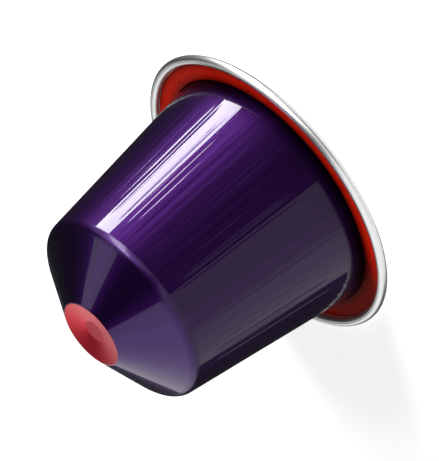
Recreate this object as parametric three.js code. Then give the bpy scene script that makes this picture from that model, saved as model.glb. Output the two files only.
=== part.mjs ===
// A sealed coffee pod that stands on its lid with the nose up: a deep-drawn aluminium cup, closed
// and full, with a rolled rim, a rubber seal ring on the flange and a foil lid under it.
// Millimetres, +Z up along the axis, origin at the centre of the lid's underside.

import * as THREE from "three";

// Lid and sheet
const LID_THICKNESS = 0.1;
const LID_EDGE_MARGIN = 0.25; // from the lid's edge out to where the flange starts to roll
const SHEET_THICKNESS = 0.15;

// Cup, from the flange to the nose
const WALL_FOOT_DIAMETER = 30.2; // where the wall, run straight down, meets the flange
const WALL_HEIGHT = 23.65; // from the flange's upper face to the shoulder's corner
const WALL_TAPER = 3.2; // how far the wall leans in by the shoulder, on the radius
const CONE_HEIGHT = 4.6; // from the shoulder's corner to the nose's corner
const NOSE_DIAMETER = 8.4;
const DIMPLE_DEPTH = 0.6;
const DIMPLE_FLOOR_DIAMETER = 2.8;

// Roundings of the drawn sheet
const FOOT_FILLET = 0.25;
const SHOULDER_FILLET = 1.1;
const NOSE_LIP_FILLET = 0.35;
const DIMPLE_FLOOR_FILLET = 0.4;

// Flange, its rolled edge and the seal ring between the wall and the roll
const FLANGE_WIDTH = 2.85; // from the wall's foot to the middle of the roll
const CURL_DIAMETER = 1.1;
const CURL_GAP = 0.1; // from the roll's free end down to the flange
const SEAL_THICKNESS = 0.25;
const SEAL_EDGE_ROUND = 0.08;
const SEAL_CLEARANCE = 0.05;

// Facets
const TURN_SEGMENTS = 72;
const DEGREES_PER_STEP = 24;

const flangeUnderside = LID_THICKNESS;
const flangeTop = flangeUnderside + SHEET_THICKNESS;
const footRadius = WALL_FOOT_DIAMETER / 2;
const shoulder = new THREE.Vector2(footRadius - WALL_TAPER, flangeTop + WALL_HEIGHT);
const noseCorner = new THREE.Vector2(NOSE_DIAMETER / 2, shoulder.y + CONE_HEIGHT);
const curlRadius = CURL_DIAMETER / 2;
const curlCentre = new THREE.Vector2(footRadius + FLANGE_WIDTH, flangeUnderside + curlRadius);

// Points of an arc, both ends included; angles in degrees from the outward direction.
function arc(centre, radius, fromAngle, toAngle) {
  const steps = Math.max(2, Math.ceil(Math.abs(toAngle - fromAngle) / DEGREES_PER_STEP));
  return Array.from({ length: steps + 1 }, (_, step) => {
    const angle = THREE.MathUtils.degToRad(fromAngle + ((toAngle - fromAngle) * step) / steps);
    return new THREE.Vector2(
      centre.x + radius * Math.cos(angle),
      centre.y + radius * Math.sin(angle),
    );
  });
}

// The arc that rounds the corner between two straight runs, from the run that arrives at the
// corner to the run that leaves it.
function rounded(before, corner, after, radius) {
  const back = before.clone().sub(corner).normalize();
  const ahead = after.clone().sub(corner).normalize();
  const halfAngle = Math.acos(THREE.MathUtils.clamp(back.dot(ahead), -1, 1)) / 2;
  const middle = back.clone().add(ahead).normalize();
  const centre = corner.clone().addScaledVector(middle, radius / Math.sin(halfAngle));
  const reach = radius / Math.tan(halfAngle);
  const angleOf = (point) => {
    const arm = point.clone().sub(centre);
    return THREE.MathUtils.radToDeg(Math.atan2(arm.y, arm.x));
  };
  const start = angleOf(corner.clone().addScaledVector(back, reach));
  let turn = angleOf(corner.clone().addScaledVector(ahead, reach)) - start;
  turn -= 360 * Math.round(turn / 360);
  return arc(centre, radius, start, start + turn);
}

// Where the wall stands at a height, and its lean from the vertical in degrees.
function wallRadius(height) {
  return footRadius - (WALL_TAPER * (height - flangeTop)) / WALL_HEIGHT;
}

const wallLean = THREE.MathUtils.radToDeg(Math.atan2(WALL_TAPER, WALL_HEIGHT));

// Centre of the rounding between the flange and the wall, which the seal ring shares.
const footCentre = new THREE.Vector2(
  wallRadius(flangeTop + FOOT_FILLET) + FOOT_FILLET / Math.cos(THREE.MathUtils.degToRad(wallLean)),
  flangeTop + FOOT_FILLET,
);

// A body turned about +Z from a profile of radius and height, given up its outer side.
function turned(profile) {
  return new THREE.LatheGeometry(profile, TURN_SEGMENTS).rotateX(Math.PI / 2);
}

function part(name, geometry, colour, roughness, metalness) {
  const material = new THREE.MeshStandardMaterial({ color: colour, roughness, metalness });
  const mesh = new THREE.Mesh(geometry, material);
  mesh.name = name;
  return mesh;
}

// The rolled edge: the sheet leaves the flange outwards, turns up and over and comes back down
// inwards, until its free end is CURL_GAP above the flange. The roll is hollow inside.
function curlProfile() {
  const drop = (curlRadius - SHEET_THICKNESS - CURL_GAP) / curlRadius;
  const endAngle = 180 + THREE.MathUtils.radToDeg(Math.asin(drop));
  const outside = arc(curlCentre, curlRadius, -90, endAngle);
  const inside = arc(curlCentre, curlRadius - SHEET_THICKNESS, endAngle, -90);
  return [...outside, ...inside];
}

// The cup and what is sealed in it, as one body: flange, roll, wall, shoulder, cone and nose.
function sealedCup() {
  const foot = new THREE.Vector2(footRadius, flangeTop);
  const flangeEdge = new THREE.Vector2(curlCentre.x, flangeTop);
  const dimpleFloor = noseCorner.y - DIMPLE_DEPTH;
  const floorCorner = new THREE.Vector2(DIMPLE_FLOOR_DIAMETER / 2, dimpleFloor);
  const floorCentre = new THREE.Vector2(0, dimpleFloor);
  return turned([
    new THREE.Vector2(0, flangeUnderside),
    ...curlProfile(),
    ...rounded(flangeEdge, foot, shoulder, FOOT_FILLET),
    ...rounded(foot, shoulder, noseCorner, SHOULDER_FILLET),
    ...rounded(shoulder, noseCorner, floorCorner, NOSE_LIP_FILLET),
    ...rounded(noseCorner, floorCorner, floorCentre, DIMPLE_FLOOR_FILLET),
    floorCentre,
  ]);
}

// The rubber ring that lies on the flange. Its inner side follows the foot of the wall and its
// outer side stops just short of the roll.
function sealRing() {
  const top = flangeTop + SEAL_THICKNESS;
  const outerRadius = curlCentre.x - curlRadius - SEAL_CLEARANCE;
  const outerBottom = new THREE.Vector2(outerRadius, flangeTop);
  const innerTop = new THREE.Vector2(wallRadius(top) + SEAL_CLEARANCE, top);
  const outerCorner = new THREE.Vector2(outerRadius, top);
  const footRound = arc(footCentre, FOOT_FILLET, 180 + wallLean, 270);
  const innerSide = footRound.map((point) => new THREE.Vector2(point.x + SEAL_CLEARANCE, point.y));
  return turned([
    outerBottom,
    ...rounded(outerBottom, outerCorner, innerTop, SEAL_EDGE_ROUND),
    innerTop,
    ...innerSide,
    outerBottom,
  ]);
}

// The foil disc sealed to the underside of the flange, inside the roll.
function foilLid() {
  const radius = curlCentre.x - LID_EDGE_MARGIN;
  return turned([
    new THREE.Vector2(0, 0),
    new THREE.Vector2(radius, 0),
    new THREE.Vector2(radius, LID_THICKNESS),
    new THREE.Vector2(0, LID_THICKNESS),
  ]);
}

const pod = new THREE.Group();
pod.add(
  part("sealed_cup", sealedCup(), 0x4b1a6e, 0.25, 0.9),
  part("seal_ring", sealRing(), 0xa81410, 0.3, 0.0),
  part("foil_lid", foilLid(), 0xc9cbd0, 0.35, 1.0),
);

export default pod;
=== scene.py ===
"""A sealed coffee pod that stands on its lid with the nose up, seen from the side and a little above,
with the camera turned so that the nose points down to the left."""

import math

import bpy
import numpy as np
from mathutils import Matrix, Vector


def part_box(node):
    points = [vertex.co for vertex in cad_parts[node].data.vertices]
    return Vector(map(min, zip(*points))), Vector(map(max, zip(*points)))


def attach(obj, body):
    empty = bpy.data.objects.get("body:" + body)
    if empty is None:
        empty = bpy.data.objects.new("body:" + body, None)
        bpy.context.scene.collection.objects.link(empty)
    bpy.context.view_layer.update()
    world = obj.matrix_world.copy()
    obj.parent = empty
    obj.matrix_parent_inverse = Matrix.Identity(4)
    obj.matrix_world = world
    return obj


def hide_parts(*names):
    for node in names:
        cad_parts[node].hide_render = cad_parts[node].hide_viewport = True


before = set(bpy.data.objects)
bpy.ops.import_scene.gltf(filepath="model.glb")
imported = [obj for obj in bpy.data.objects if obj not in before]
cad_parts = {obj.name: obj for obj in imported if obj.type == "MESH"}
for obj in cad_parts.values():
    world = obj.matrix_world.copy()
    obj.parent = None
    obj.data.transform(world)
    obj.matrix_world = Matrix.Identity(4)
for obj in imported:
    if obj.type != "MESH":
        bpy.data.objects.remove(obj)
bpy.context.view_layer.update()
scene = bpy.context.scene

# Camera
# It looks at the pod from 25 degrees above the plane of the lid, half a metre away, and is turned
# about its own line of sight, so that the pod seems to lie with its rim up to the right.
CAMERA_DISTANCE = 0.538
CAMERA_ELEVATION = math.radians(25.2)
CAMERA_TURN = math.radians(-129.0)
AIM_HEIGHT = 0.0083
SENSOR_MM = 36.0
PICTURE_LONG_SIDE = 461
PIXELS_PER_RADIAN = 4790  # the pod then spans about 340 of the picture's 439 by 461 pixels

camera_data = bpy.data.cameras.new("camera")
camera_data.sensor_width = SENSOR_MM
camera_data.lens = SENSOR_MM * PIXELS_PER_RADIAN / PICTURE_LONG_SIDE
camera_data.clip_start = 0.01
camera_data.clip_end = 100.0
camera = bpy.data.objects.new("camera", camera_data)
scene.collection.objects.link(camera)
scene.camera = camera
towards_camera = Vector((0.0, -math.cos(CAMERA_ELEVATION), math.sin(CAMERA_ELEVATION)))
level = Matrix.Rotation(math.pi / 2 - CAMERA_ELEVATION, 4, "X")
turn = Matrix.Rotation(CAMERA_TURN, 4, "Z")
place = Matrix.Translation(Vector((0.0, 0.0, AIM_HEIGHT)) + towards_camera * CAMERA_DISTANCE)
camera.matrix_world = place @ level @ turn

# Sealed cup
# One piece of lacquered aluminium sheet, drawn in a press to a tapered wall, a shoulder, a cone and
# a dimpled nose, with the flange's edge rolled into a hollow bead. The wall and cone are violet, the
# dimple is red and the bead is bare. A flat face under the flange, which the lid hides, closes it.
MM = 0.001  # the pieces' sizes are in millimetres, and their meshes and patterns in metres
SHEET = 0.15
FLANGE_WIDTH = 2.85  # from the wall's foot to the middle of the bead
BEAD_RADIUS = 0.55
BEAD_GAP = 0.1  # from the rolled sheet's free end down to the flange
WALL_HEIGHT = 23.65
WALL_TAPER = 3.2  # how far the wall leans in by the shoulder
CONE_HEIGHT = 4.6
NOSE_RADIUS = 4.2
DIMPLE_DEPTH = 0.6
DIMPLE_FLOOR_RADIUS = 1.4
FOOT_FILLET = 0.25
SHOULDER_FILLET = 1.1
LIP_FILLET = 0.35
FLOOR_FILLET = 0.4
WALL_MIDDLE_RADIUS = 13.5
CUP_SEGMENTS = 384
STRAIGHT_STEP = 0.5


def arc(centre, radius, start, end, count):
    """Points centre + radius * (cos a, sin a) for count angles a from start to end, in degrees."""
    a = np.radians(np.linspace(start, end, count))
    return np.stack([centre[0] + radius * np.cos(a), centre[1] + radius * np.sin(a)], axis=-1)


def fillet(before, corner, after, radius, count):
    """The arc of that radius that touches the runs before-corner and corner-after, in count points.
    Its centre lies on the line that halves the angle between them, radius / sin(half angle) from the
    corner."""
    before, corner, after = (np.asarray(p, float) for p in (before, corner, after))
    back = (before - corner) / np.linalg.norm(before - corner)
    ahead = (after - corner) / np.linalg.norm(after - corner)
    half = math.acos(float(back @ ahead)) / 2
    centre = corner + (back + ahead) / np.linalg.norm(back + ahead) * radius / math.sin(half)
    arm_in = corner + back * radius / math.tan(half) - centre
    arm_out = corner + ahead * radius / math.tan(half) - centre
    start = math.degrees(math.atan2(arm_in[1], arm_in[0]))
    swing = math.degrees(math.atan2(arm_out[1], arm_out[0])) - start
    swing -= 360 * round(swing / 360)
    return arc(centre, radius, start, start + swing, count)


def joined(*runs):
    """The runs end to end as one profile. A straight stretch between two runs is cut into steps of
    about STRAIGHT_STEP, closer at both ends: the point at share s is (1 - cos(pi s)) / 2 along it."""
    points = [np.atleast_2d(runs[0])]
    for run in runs[1:]:
        start, end = points[-1][-1], np.atleast_2d(run)[0]
        steps = max(2, int(np.linalg.norm(end - start) / STRAIGHT_STEP) + 2)
        share = (1 - np.cos(np.pi * np.linspace(0, 1, steps + 1)[1:-1])) / 2
        points += [start + share[:, None] * (end - start), np.atleast_2d(run)]
    return np.concatenate(points)


def turned(name, profile, segments, closed=False):
    """A body turned about Z: the point (r, z) of the profile at angle a is (r cos a, r sin a, z). An
    open profile starts and ends on the axis, where its end points are single poles with a fan of
    triangles. A closed one is a ring."""
    rings = profile if closed else profile[1:-1]
    a = np.linspace(0, 2 * np.pi, segments, endpoint=False)
    across = np.outer(rings[:, 0], np.cos(a))
    along = np.outer(rings[:, 0], np.sin(a))
    up = np.repeat(rings[:, 1:], segments, axis=1)
    points = np.stack([across, along, up], axis=-1).reshape(-1, 3)
    index = np.arange(len(points)).reshape(len(rings), segments)
    if closed:
        index = np.vstack([index, index[:1]])
    following = np.roll(index, -1, axis=1)
    quads = np.stack([index[:-1], following[:-1], following[1:], index[1:]], axis=-1)
    faces = quads.reshape(-1, 4).tolist()
    if not closed:
        first = np.full(segments, len(points))
        points = np.vstack([points, [[0, 0, profile[0, 1]], [0, 0, profile[-1, 1]]]])
        faces += np.stack([following[0], index[0], first], axis=-1).tolist()
        faces += np.stack([index[-1], following[-1], first + 1], axis=-1).tolist()
    mesh = bpy.data.meshes.new(name)
    mesh.from_pydata((points * MM).tolist(), [], faces)
    mesh.shade_smooth()
    piece = bpy.data.objects.new(name, mesh)
    scene.collection.objects.link(piece)
    return piece


cup_low, cup_high = (np.array(corner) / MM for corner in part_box("sealed_cup"))
underside = cup_low[2]
flange_top = underside + SHEET
bead_centre = np.array([cup_high[0] - BEAD_RADIUS, underside + BEAD_RADIUS])
flange_edge = np.array([bead_centre[0], flange_top])
foot = np.array([bead_centre[0] - FLANGE_WIDTH, flange_top])
shoulder = np.array([foot[0] - WALL_TAPER, flange_top + WALL_HEIGHT])
nose = np.array([NOSE_RADIUS, shoulder[1] + CONE_HEIGHT])
floor_corner = np.array([DIMPLE_FLOOR_RADIUS, nose[1] - DIMPLE_DEPTH])
floor_centre = np.array([0.0, floor_corner[1]])
bead_end = 180 + math.degrees(math.asin((BEAD_RADIUS - SHEET - BEAD_GAP) / BEAD_RADIUS))
foot_round = fillet(flange_edge, foot, shoulder, FOOT_FILLET, 8)
cup_profile = joined(
    np.array([0.0, underside]),
    arc(bead_centre, BEAD_RADIUS, -90, bead_end, 40),
    arc(bead_centre, BEAD_RADIUS - SHEET, bead_end, -90, 24),
    foot_round,
    fillet(foot, shoulder, nose, SHOULDER_FILLET, 14),
    fillet(shoulder, nose, floor_corner, LIP_FILLET, 14),
    fillet(nose, floor_corner, floor_centre, FLOOR_FILLET, 10),
    floor_centre,
)
cup = turned("drawn_cup", cup_profile, CUP_SEGMENTS)

MULTIPLY = {"operation": "MULTIPLY"}
MULTIPLY_ADD = {"operation": "MULTIPLY_ADD"}
SMOOTH = {"interpolation_type": "SMOOTHSTEP"}
NOISE_RANGE = {"From_Min": 0.3, "From_Max": 0.7}  # most of a noise lies between these


def linear(hex_colour):
    """Linear RGBA of an sRGB colour written as #rrggbb: c / 12.92 up to 0.04045, and above it
    ((c + 0.055) / 1.055) to the power 2.4."""
    c = np.array([int(hex_colour[i : i + 2], 16) for i in (1, 3, 5)]) / 255
    c = np.where(c <= 0.04045, c / 12.92, ((c + 0.055) / 1.055) ** 2.4)
    return (*c.tolist(), 1.0)


def node(tree, kind, settings=None, **sockets):
    """Adds a node. settings are its own properties. sockets are inputs by name, with underscores for
    spaces, or by position as in_0: an output is linked, a node stands for its first output, and
    anything else is the input's value."""
    made = tree.nodes.new(kind)
    for key, value in (settings or {}).items():
        setattr(made, key, value)
    for key, value in sockets.items():
        socket = made.inputs[int(key[3:]) if key.startswith("in_") else key.replace("_", " ")]
        if isinstance(value, bpy.types.Node):
            value = value.outputs[0]
        if isinstance(value, bpy.types.NodeSocket):
            tree.links.new(value, socket)
        else:
            socket.default_value = value
    return made


def new_material(name):
    material = bpy.data.materials.new(name)
    material.use_nodes = True
    material.node_tree.nodes.clear()
    return material, material.node_tree


def reach_and_height(tree):
    """Distance from the axis and height above the floor, in metres."""
    place = node(tree, "ShaderNodeTexCoord").outputs["Object"]
    flat = node(tree, "ShaderNodeVectorMath", MULTIPLY, in_0=place, in_1=(1, 1, 0))
    reach = node(tree, "ShaderNodeVectorMath", {"operation": "LENGTH"}, in_0=flat)
    return reach.outputs["Value"], node(tree, "ShaderNodeSeparateXYZ", Vector=place).outputs["Z"]


def by_height(tree, start, end, low=0.0, high=1.0):
    """A value that follows the height above the floor: low up to start, high from end on, and a
    smooth S between them. start and end are in millimetres, and start may be above end."""
    place = node(tree, "ShaderNodeTexCoord").outputs["Object"]
    height = node(tree, "ShaderNodeSeparateXYZ", Vector=place).outputs["Z"]
    return node(
        tree, "ShaderNodeMapRange", SMOOTH, Value=height, From_Min=start * MM, From_Max=end * MM,
        To_Min=low, To_Max=high,
    )


def drawing_lines(tree, spacing, length, shift):
    """Noise in lines that run up the wall. The point (x, y) is set on a circle of the wall's middle
    radius, and the height is pressed together by spacing / length, so a line is about spacing wide
    and length long, both in millimetres. shift, in metres, picks another part of the noise."""
    radius = WALL_MIDDLE_RADIUS * MM
    place = node(tree, "ShaderNodeTexCoord").outputs["Object"]
    flat = node(tree, "ShaderNodeVectorMath", MULTIPLY, in_0=place, in_1=(1, 1, 0))
    unit = node(tree, "ShaderNodeVectorMath", {"operation": "NORMALIZE"}, in_0=flat)
    around = node(
        tree, "ShaderNodeVectorMath", MULTIPLY_ADD, in_0=unit, in_1=(radius, radius, 0),
        in_2=(shift, shift, shift),
    )
    on_wall = node(
        tree, "ShaderNodeVectorMath", MULTIPLY_ADD, in_0=place, in_1=(0, 0, spacing / length),
        in_2=around,
    )
    return node(tree, "ShaderNodeTexNoise", Vector=on_wall, Scale=1 / (spacing * MM))


def mottled(tree, share, dark, light, brightness):
    """A colour that runs from dark to light with share, times brightness."""
    mix = node(
        tree, "ShaderNodeMix", {"data_type": "RGBA"}, in_0=share, in_6=linear(dark), in_7=linear(light)
    )
    return node(
        tree, "ShaderNodeVectorMath", {"operation": "SCALE"}, in_0=mix.outputs[2], Scale=brightness
    )


RIPPLE_SPACING, RIPPLE_LENGTH, RIPPLE_SHIFT = 0.8, 60, 1.27
FINE_SPACING, FINE_LENGTH, FINE_SHIFT = 0.25, 50, 0.77
FINE_SHARE = 0.05  # depth of the fine lines, as a share of the ripples' depth
FOOT_SHADE = 0.12  # painted shade: colour's brightness at the wall's very foot, in the flange's shade
BEND_SKIN = 0.75  # what is left of the skin on the shoulder's bend
BEND_SKIN_ROUGHNESS = 0.18


def lacquered_aluminium(
    name, deep, pale, cone_painted_sheen, roughness, cone_roughness, skin, skin_roughness, ripple
):
    """Clear coloured lacquer on drawn aluminium. The metal under it gives a wide coloured sheen, and
    its own skin gives sharp colourless reflections. The press leaves ripples that run up the wall,
    deepest halfway up: they break the edges of a reflection into lines. Their real depth isn't
    known, and ripple, in millimetres, is as deep as they need to show in a small picture. The rest
    is matched to measured colours: painted shade darkens the colour at the wall's foot, a painted
    sheen makes its red, green and blue cone_painted_sheen times as strong on the cone, and the skin fades
    out just above the ring and is weaker and duller on the shoulder's bend."""
    material, tree = new_material(name)
    wide = drawing_lines(tree, RIPPLE_SPACING, RIPPLE_LENGTH, RIPPLE_SHIFT)
    fine = drawing_lines(tree, FINE_SPACING, FINE_LENGTH, FINE_SHIFT)
    corner = shoulder[1]

    share = node(tree, "ShaderNodeMapRange", SMOOTH, Value=fine, **NOISE_RANGE)
    # Painted shade: the colour darkens towards the wall's foot, where the flange shades it.
    tint = mottled(tree, share, deep, pale, by_height(tree, 0.5, 3.2, FOOT_SHADE))
    on_cone = by_height(tree, corner - 0.4, corner + 0.6)
    # Painted sheen: on the cone the colour is cone_painted_sheen times as strong, standing in for its
    # brighter, bluer reflections.
    cone_sheen_factor = node(
        tree, "ShaderNodeVectorMath", MULTIPLY_ADD, in_0=on_cone,
        in_1=[channel - 1 for channel in cone_painted_sheen], in_2=(1, 1, 1),
    )
    colour = node(tree, "ShaderNodeVectorMath", MULTIPLY, in_0=tint, in_1=cone_sheen_factor)
    metal_roughness = node(
        tree, "ShaderNodeMapRange", SMOOTH, Value=on_cone, To_Min=roughness, To_Max=cone_roughness
    )

    above_foot = by_height(tree, 1.5, 8, 0.1)
    below_shoulder = by_height(tree, corner + 0.1, corner - 4.9, 0.04)
    depth = node(tree, "ShaderNodeMath", MULTIPLY, in_0=above_foot, in_1=below_shoulder)
    lines = node(tree, "ShaderNodeMath", MULTIPLY_ADD, in_0=fine, in_1=FINE_SHARE, in_2=wide)
    ripples = node(tree, "ShaderNodeMath", MULTIPLY, in_0=lines, in_1=depth)
    relief = node(tree, "ShaderNodeBump", Height=ripples, Distance=ripple * MM, Strength=1.0)

    bend_start = by_height(tree, corner - 0.7, corner - 0.45)
    bend_end = by_height(tree, corner + 0.55, corner + 0.25)
    bend = node(tree, "ShaderNodeMath", MULTIPLY, in_0=bend_start, in_1=bend_end)
    thinned = node(tree, "ShaderNodeMapRange", SMOOTH, Value=bend, To_Min=1.0, To_Max=BEND_SKIN)
    above_ring = by_height(tree, 1.9, 2.4, 0.0, skin)
    skin_weight = node(tree, "ShaderNodeMath", MULTIPLY, in_0=above_ring, in_1=thinned)
    skin_dullness = node(
        tree, "ShaderNodeMapRange", SMOOTH, Value=bend, To_Min=skin_roughness,
        To_Max=max(skin_roughness, BEND_SKIN_ROUGHNESS),
    )
    shader = node(
        tree, "ShaderNodeBsdfPrincipled", Base_Color=colour, Metallic=1.0, Roughness=metal_roughness,
        Coat_Weight=skin_weight, Coat_Roughness=skin_dullness, Coat_IOR=1.4, Normal=relief,
        Coat_Normal=relief,
    )
    node(tree, "ShaderNodeOutputMaterial", Surface=shader)
    return material


# The violet cone's colour is brightened by a painted sheen, and the wall's foot darkened by painted shade.
violet_lacquer = lacquered_aluminium(
    "violet_lacquered_aluminium", deep="#250b3a", pale="#2d1045", cone_painted_sheen=(1.8, 1.5, 2.1),
    roughness=0.46, cone_roughness=0.28, skin=1.0, skin_roughness=0.04, ripple=0.11,
)
red_lacquer = lacquered_aluminium(
    "red_lacquered_aluminium", deep="#d81430", pale="#e21c38", cone_painted_sheen=(1, 1, 1),
    roughness=0.4, cone_roughness=0.4, skin=0.5, skin_roughness=0.3, ripple=0.0,
)

# The bare bead is a soft, bright mirror, and the rolls leave fine lines that run round it: noise of
# the distance from the axis and the height only.
ROLLING_LINE = 0.06
bare_aluminium, tree = new_material("bare_rolled_aluminium")
reach, height = reach_and_height(tree)
section = node(tree, "ShaderNodeCombineXYZ", X=reach, Y=height)
rolling = node(tree, "ShaderNodeTexNoise", Vector=section, Scale=1 / (ROLLING_LINE * MM))
roughness = node(
    tree, "ShaderNodeMapRange", SMOOTH, Value=rolling, **NOISE_RANGE, To_Min=0.28, To_Max=0.38
)
shader = node(
    tree, "ShaderNodeBsdfPrincipled", Base_Color=linear("#eceeec"), Metallic=1.0, Roughness=roughness
)
node(tree, "ShaderNodeOutputMaterial", Surface=shader)

RED_MARGIN = 0.05  # how far the red reaches out over the nose's lip
for material in (violet_lacquer, bare_aluminium, red_lacquer):
    cup.data.materials.append(material)
centres = np.empty(len(cup.data.polygons) * 3)
cup.data.polygons.foreach_get("center", centres)
centres = centres.reshape(-1, 3) / MM
radius = np.hypot(centres[:, 0], centres[:, 1])
height = centres[:, 2]
lip_radius = cup_profile[cup_profile[:, 1].argmax(), 0]
on_bead = (radius > foot[0] + FOOT_FILLET) | (height < flange_top)
in_nose = (radius < lip_radius + RED_MARGIN) & (height > shoulder[1])
finish = np.where(on_bead, 1, np.where(in_nose, 2, 0)).astype(np.int32)
cup.data.polygons.foreach_set("material_index", finish)
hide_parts("sealed_cup")
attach(cup, "root")

# Seal ring
# A moulded ring of red rubber that lies on the flange between the wall and the bead. It fills the
# corner at the wall's foot, so its inner edge follows the wall.
RING_CLEARANCE = 0.05
RING_EDGE_ROUND = 0.08
RING_SEGMENTS = 256
ring_high = np.array(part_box("seal_ring")[1]) / MM
wall_slope = WALL_TAPER / WALL_HEIGHT
ring_inner_top = np.array(
    [foot[0] - wall_slope * (ring_high[2] - flange_top) + RING_CLEARANCE, ring_high[2]]
)
ring_outer_top = np.array([ring_high[0], ring_high[2]])
ring_outer_bottom = np.array([ring_high[0], flange_top])
ring_profile = joined(
    fillet(ring_outer_bottom, ring_outer_top, ring_inner_top, RING_EDGE_ROUND, 8),
    ring_inner_top,
    foot_round[::-1] + (RING_CLEARANCE, 0),
    ring_outer_bottom,
)
ring = turned("rubber_seal_ring", ring_profile, RING_SEGMENTS, closed=True)

# A deep red with hardly any sheen and the faint cloudiness of moulded rubber. Its inner part is in
# the shade of the wall, drawn darker than the lamps alone make it.
CLOUD = 1.5
GRAIN, GRAIN_DEPTH = 0.12, 0.002
WALL_SHADE = 0.4
SHADE_START, SHADE_END = 15.2, 16.4  # distances from the axis
seal_rubber, tree = new_material("moulded_red_rubber")
place = node(tree, "ShaderNodeTexCoord").outputs["Object"]
cloud = node(tree, "ShaderNodeTexNoise", Vector=place, Scale=1 / (CLOUD * MM), Detail=3.0)
share = node(tree, "ShaderNodeMapRange", SMOOTH, Value=cloud, **NOISE_RANGE)
wall_shade = node(
    tree, "ShaderNodeMapRange", SMOOTH, Value=reach_and_height(tree)[0],
    From_Min=SHADE_START * MM, From_Max=SHADE_END * MM, To_Min=WALL_SHADE,
)
grain = node(tree, "ShaderNodeTexNoise", Vector=place, Scale=1 / (GRAIN * MM))
relief = node(tree, "ShaderNodeBump", Height=grain, Distance=GRAIN_DEPTH * MM, Strength=1.0)
shader = node(
    tree, "ShaderNodeBsdfPrincipled", Base_Color=mottled(tree, share, "#d01c08", "#e0240c", wall_shade),
    Roughness=0.45, IOR=1.25, Specular_IOR_Level=0.1, Normal=relief,
)
node(tree, "ShaderNodeOutputMaterial", Surface=shader)
ring.data.materials.append(seal_rubber)
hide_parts("seal_ring")
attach(ring, "root")

# Foil lid
# A disc of rolled aluminium foil that closes the cup. It is sealed to the underside of the flange,
# inside the bead.
LID_EDGE_ROUND = 0.03
LID_SEGMENTS = 256
lid_low, lid_high = (np.array(corner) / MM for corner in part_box("foil_lid"))
lid_centre = np.array([0.0, lid_low[2]])
lid_edge = np.array([lid_high[0], lid_low[2]])
lid_edge_top = np.array([lid_high[0], lid_high[2]])
lid_top_centre = np.array([0.0, lid_high[2]])
lid_profile = joined(
    lid_centre,
    fillet(lid_centre, lid_edge, lid_edge_top, LID_EDGE_ROUND, 5),
    fillet(lid_edge, lid_edge_top, lid_top_centre, LID_EDGE_ROUND, 5),
    lid_top_centre,
)
lid = turned("foil_disc", lid_profile, LID_SEGMENTS)

# Satin metal with the long fine lines of the rolling mill, all one way: noise drawn out along X.
MILL_LINE, MILL_DEPTH = 0.2, 0.004
MILL_STRETCH = 50
lid_foil, tree = new_material("rolled_aluminium_foil")
place = node(tree, "ShaderNodeTexCoord").outputs["Object"]
milled = node(tree, "ShaderNodeVectorMath", MULTIPLY, in_0=place, in_1=(1 / MILL_STRETCH, 1, 1))
mill_lines = node(tree, "ShaderNodeTexNoise", Vector=milled, Scale=1 / (MILL_LINE * MM), Detail=3.0)
relief = node(tree, "ShaderNodeBump", Height=mill_lines, Distance=MILL_DEPTH * MM, Strength=1.0)
roughness = node(
    tree, "ShaderNodeMapRange", SMOOTH, Value=mill_lines, **NOISE_RANGE, To_Min=0.28, To_Max=0.4
)
shader = node(
    tree, "ShaderNodeBsdfPrincipled", Base_Color=linear("#d0d1d4"), Metallic=1.0, Roughness=roughness,
    Normal=relief,
)
node(tree, "ShaderNodeOutputMaterial", Surface=shader)
lid.data.materials.append(lid_foil)
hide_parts("foil_lid")
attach(lid, "root")

# Studio
# A pale floor in a white room. Black cloths hang where the lacquer is to mirror something dark, and
# gauzes where it is to mirror a duller white. They show only in mirrors and cast no shadow. Two soft
# boxes light the pod from the right: a tall narrow one, which the wall mirrors as a long stripe, and
# a higher one nearer the camera. The narrow one stands below the floor and shines through it.
FLAG_DISTANCE = 1.2
FLAG_COLUMNS, FLAG_ROWS = 49, 33
BOX_DISTANCE = 0.7


def sphere_patch(name, turns, rises, lying):
    """Part of a sphere round the pod: turn t and rise e, in degrees, give the direction
    (cos e sin t, -cos e cos t, sin e), so t runs from the front over the right side and e is the
    angle above the floor. A lying one is (cos e sin t, sin e, cos e cos t): t runs from straight
    above over to the right, and e from the front to the back."""
    t, e = np.meshgrid(
        np.radians(np.linspace(*turns, FLAG_COLUMNS)), np.radians(np.linspace(*rises, FLAG_ROWS))
    )
    if lying:
        grid = np.stack([np.cos(e) * np.sin(t), np.sin(e), np.cos(e) * np.cos(t)], axis=-1)
    else:
        grid = np.stack([np.cos(e) * np.sin(t), -np.cos(e) * np.cos(t), np.sin(e)], axis=-1)
    index = np.arange(FLAG_ROWS * FLAG_COLUMNS).reshape(FLAG_ROWS, FLAG_COLUMNS)
    corners = [index[:-1, :-1], index[1:, :-1], index[1:, 1:], index[:-1, 1:]]
    faces = np.stack(corners, axis=-1).reshape(-1, 4)
    mesh = bpy.data.meshes.new(name)
    mesh.from_pydata((grid.reshape(-1, 3) * FLAG_DISTANCE).tolist(), [], faces.tolist())
    patch = bpy.data.objects.new(name, mesh)
    scene.collection.objects.link(patch)
    return patch


def gauze_cloth(name, share):
    """Cloth that lets that share of the light through and swallows the rest."""
    material, tree = new_material(name)
    cloth = node(tree, "ShaderNodeBsdfTransparent", Color=(share, share, share, 1))
    node(tree, "ShaderNodeOutputMaterial", Surface=cloth)
    return material


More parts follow.
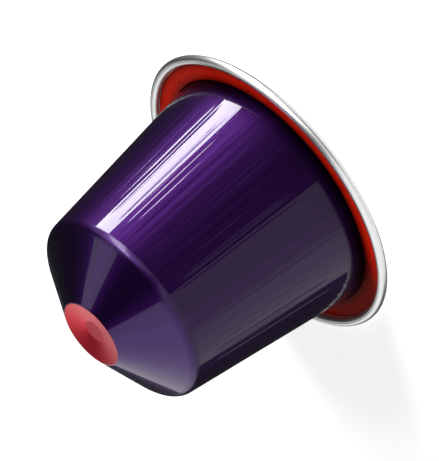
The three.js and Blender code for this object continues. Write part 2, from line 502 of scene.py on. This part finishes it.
black_cloth = gauze_cloth("black_flag_cloth", 0.02)
thick_gauze = gauze_cloth("thick_white_gauze", 0.6)
thin_gauze = gauze_cloth("thin_white_gauze", 0.9)
for name, turns, rises, lying, cloth in (
    ("flag_above", (-8.8, 21.4), (-90, 68), True, black_cloth),
    ("flag_right", (33.7, 90), (5, 90), True, black_cloth),
    ("flag_front_low", (-19, 60), (-34, 0), False, black_cloth),
    ("flag_right_low", (60, 172), (-60, 2), False, black_cloth),
    ("flag_back_low", (172, 188), (-60, -8), False, black_cloth),
    ("flag_left_low", (-172, -112), (-60, 8), False, black_cloth),
    ("gauze_front_left", (-66, -19), (-34, -6), False, thick_gauze),
    ("gauze_left", (-112, -66), (-34, -6), False, thin_gauze),
):
    flag = sphere_patch(name, turns, rises, lying)
    flag.data.materials.append(cloth)
    flag.visible_camera = False
    flag.visible_diffuse = False
    flag.visible_shadow = False


def soft_box(name, azimuth, rises, width, radiance):
    """An upright rectangle of light that faces the axis. Azimuth turns from the front over the right
    side, rises are the angles of its lower and upper edge above the floor, all in degrees, and width
    is in metres. The power of a rectangle of area a and radiance r is pi a r."""
    turn = math.radians(azimuth)
    low, high = (BOX_DISTANCE * math.tan(math.radians(rise)) for rise in rises)
    light = bpy.data.lights.new(name, "AREA")
    light.shape = "RECTANGLE"
    light.size = width
    light.size_y = high - low
    light.energy = math.pi * light.size * light.size_y * radiance
    box = bpy.data.objects.new(name, light)
    scene.collection.objects.link(box)
    outward = Vector((math.sin(turn), -math.cos(turn), 0.0))
    middle = outward * BOX_DISTANCE + Vector((0, 0, (low + high) / 2))
    box.matrix_world = Matrix.Translation(middle) @ outward.to_track_quat("Z", "Y").to_matrix().to_4x4()
    box.visible_camera = False


soft_box("strip_box", azimuth=82.4, rises=(-32, -6), width=0.235, radiance=21.0)
soft_box("high_box", azimuth=58, rises=(-3, 52), width=0.26, radiance=12.5)


def looked_at(tree):
    """1 for rays from the camera, from a mirror or through glass, and 0 for all others."""
    ray = node(tree, "ShaderNodeLightPath")
    share = ray.outputs["Is Camera Ray"]
    for kind in ("Is Glossy Ray", "Is Transmission Ray"):
        share = node(tree, "ShaderNodeMath", {"operation": "MAXIMUM"}, in_0=share, in_1=ray.outputs[kind])
    return share


# The floor is pale paper. It glows a little, less round the pod, so that it is white everywhere and
# keeps the pod's shadow. No mirror shows it and it casts no shadow of its own.
FLOOR_HALF = 20.0
GLOW_NEAR, GLOW_FAR = 0.78, 0.93
NEAR, FAR = 0.15, 1.0  # metres from the pod
floor_corners = [(-1, -1), (1, -1), (1, 1), (-1, 1)]
floor_mesh = bpy.data.meshes.new("floor")
floor_mesh.from_pydata([(x * FLOOR_HALF, y * FLOOR_HALF, 0) for x, y in floor_corners], [], [(0, 1, 2, 3)])
floor = bpy.data.objects.new("floor", floor_mesh)
scene.collection.objects.link(floor)
pale_floor, tree = new_material("pale_paper_floor")
glow_by_reach = node(
    tree, "ShaderNodeMapRange", SMOOTH, Value=reach_and_height(tree)[0], From_Min=NEAR, From_Max=FAR,
    To_Min=GLOW_NEAR, To_Max=GLOW_FAR,
)
lift = node(tree, "ShaderNodeMath", MULTIPLY, in_0=looked_at(tree), in_1=glow_by_reach)
glow = node(tree, "ShaderNodeEmission", Color=(1, 1, 1, 1), Strength=lift)
paper = node(tree, "ShaderNodeBsdfDiffuse", Color=linear("#f0f0f0"))
both = node(tree, "ShaderNodeAddShader", in_0=glow, in_1=paper)
node(tree, "ShaderNodeOutputMaterial", Surface=both)
floor.data.materials.append(pale_floor)
floor.visible_glossy = False
floor.visible_shadow = False

# The room is full white to the camera and in mirrors, and gives the pod only a little light.
ROOM_LIGHT = 0.12
world = bpy.data.worlds.new("white_room")
scene.world = world
world.use_nodes = True
tree = world.node_tree
tree.nodes.clear()
strength = node(tree, "ShaderNodeMapRange", SMOOTH, Value=looked_at(tree), To_Min=ROOM_LIGHT)
room = node(tree, "ShaderNodeBackground", Color=(1, 1, 1, 1), Strength=strength)
node(tree, "ShaderNodeOutputWorld", Surface=room)

scene.view_settings.view_transform = "Standard"
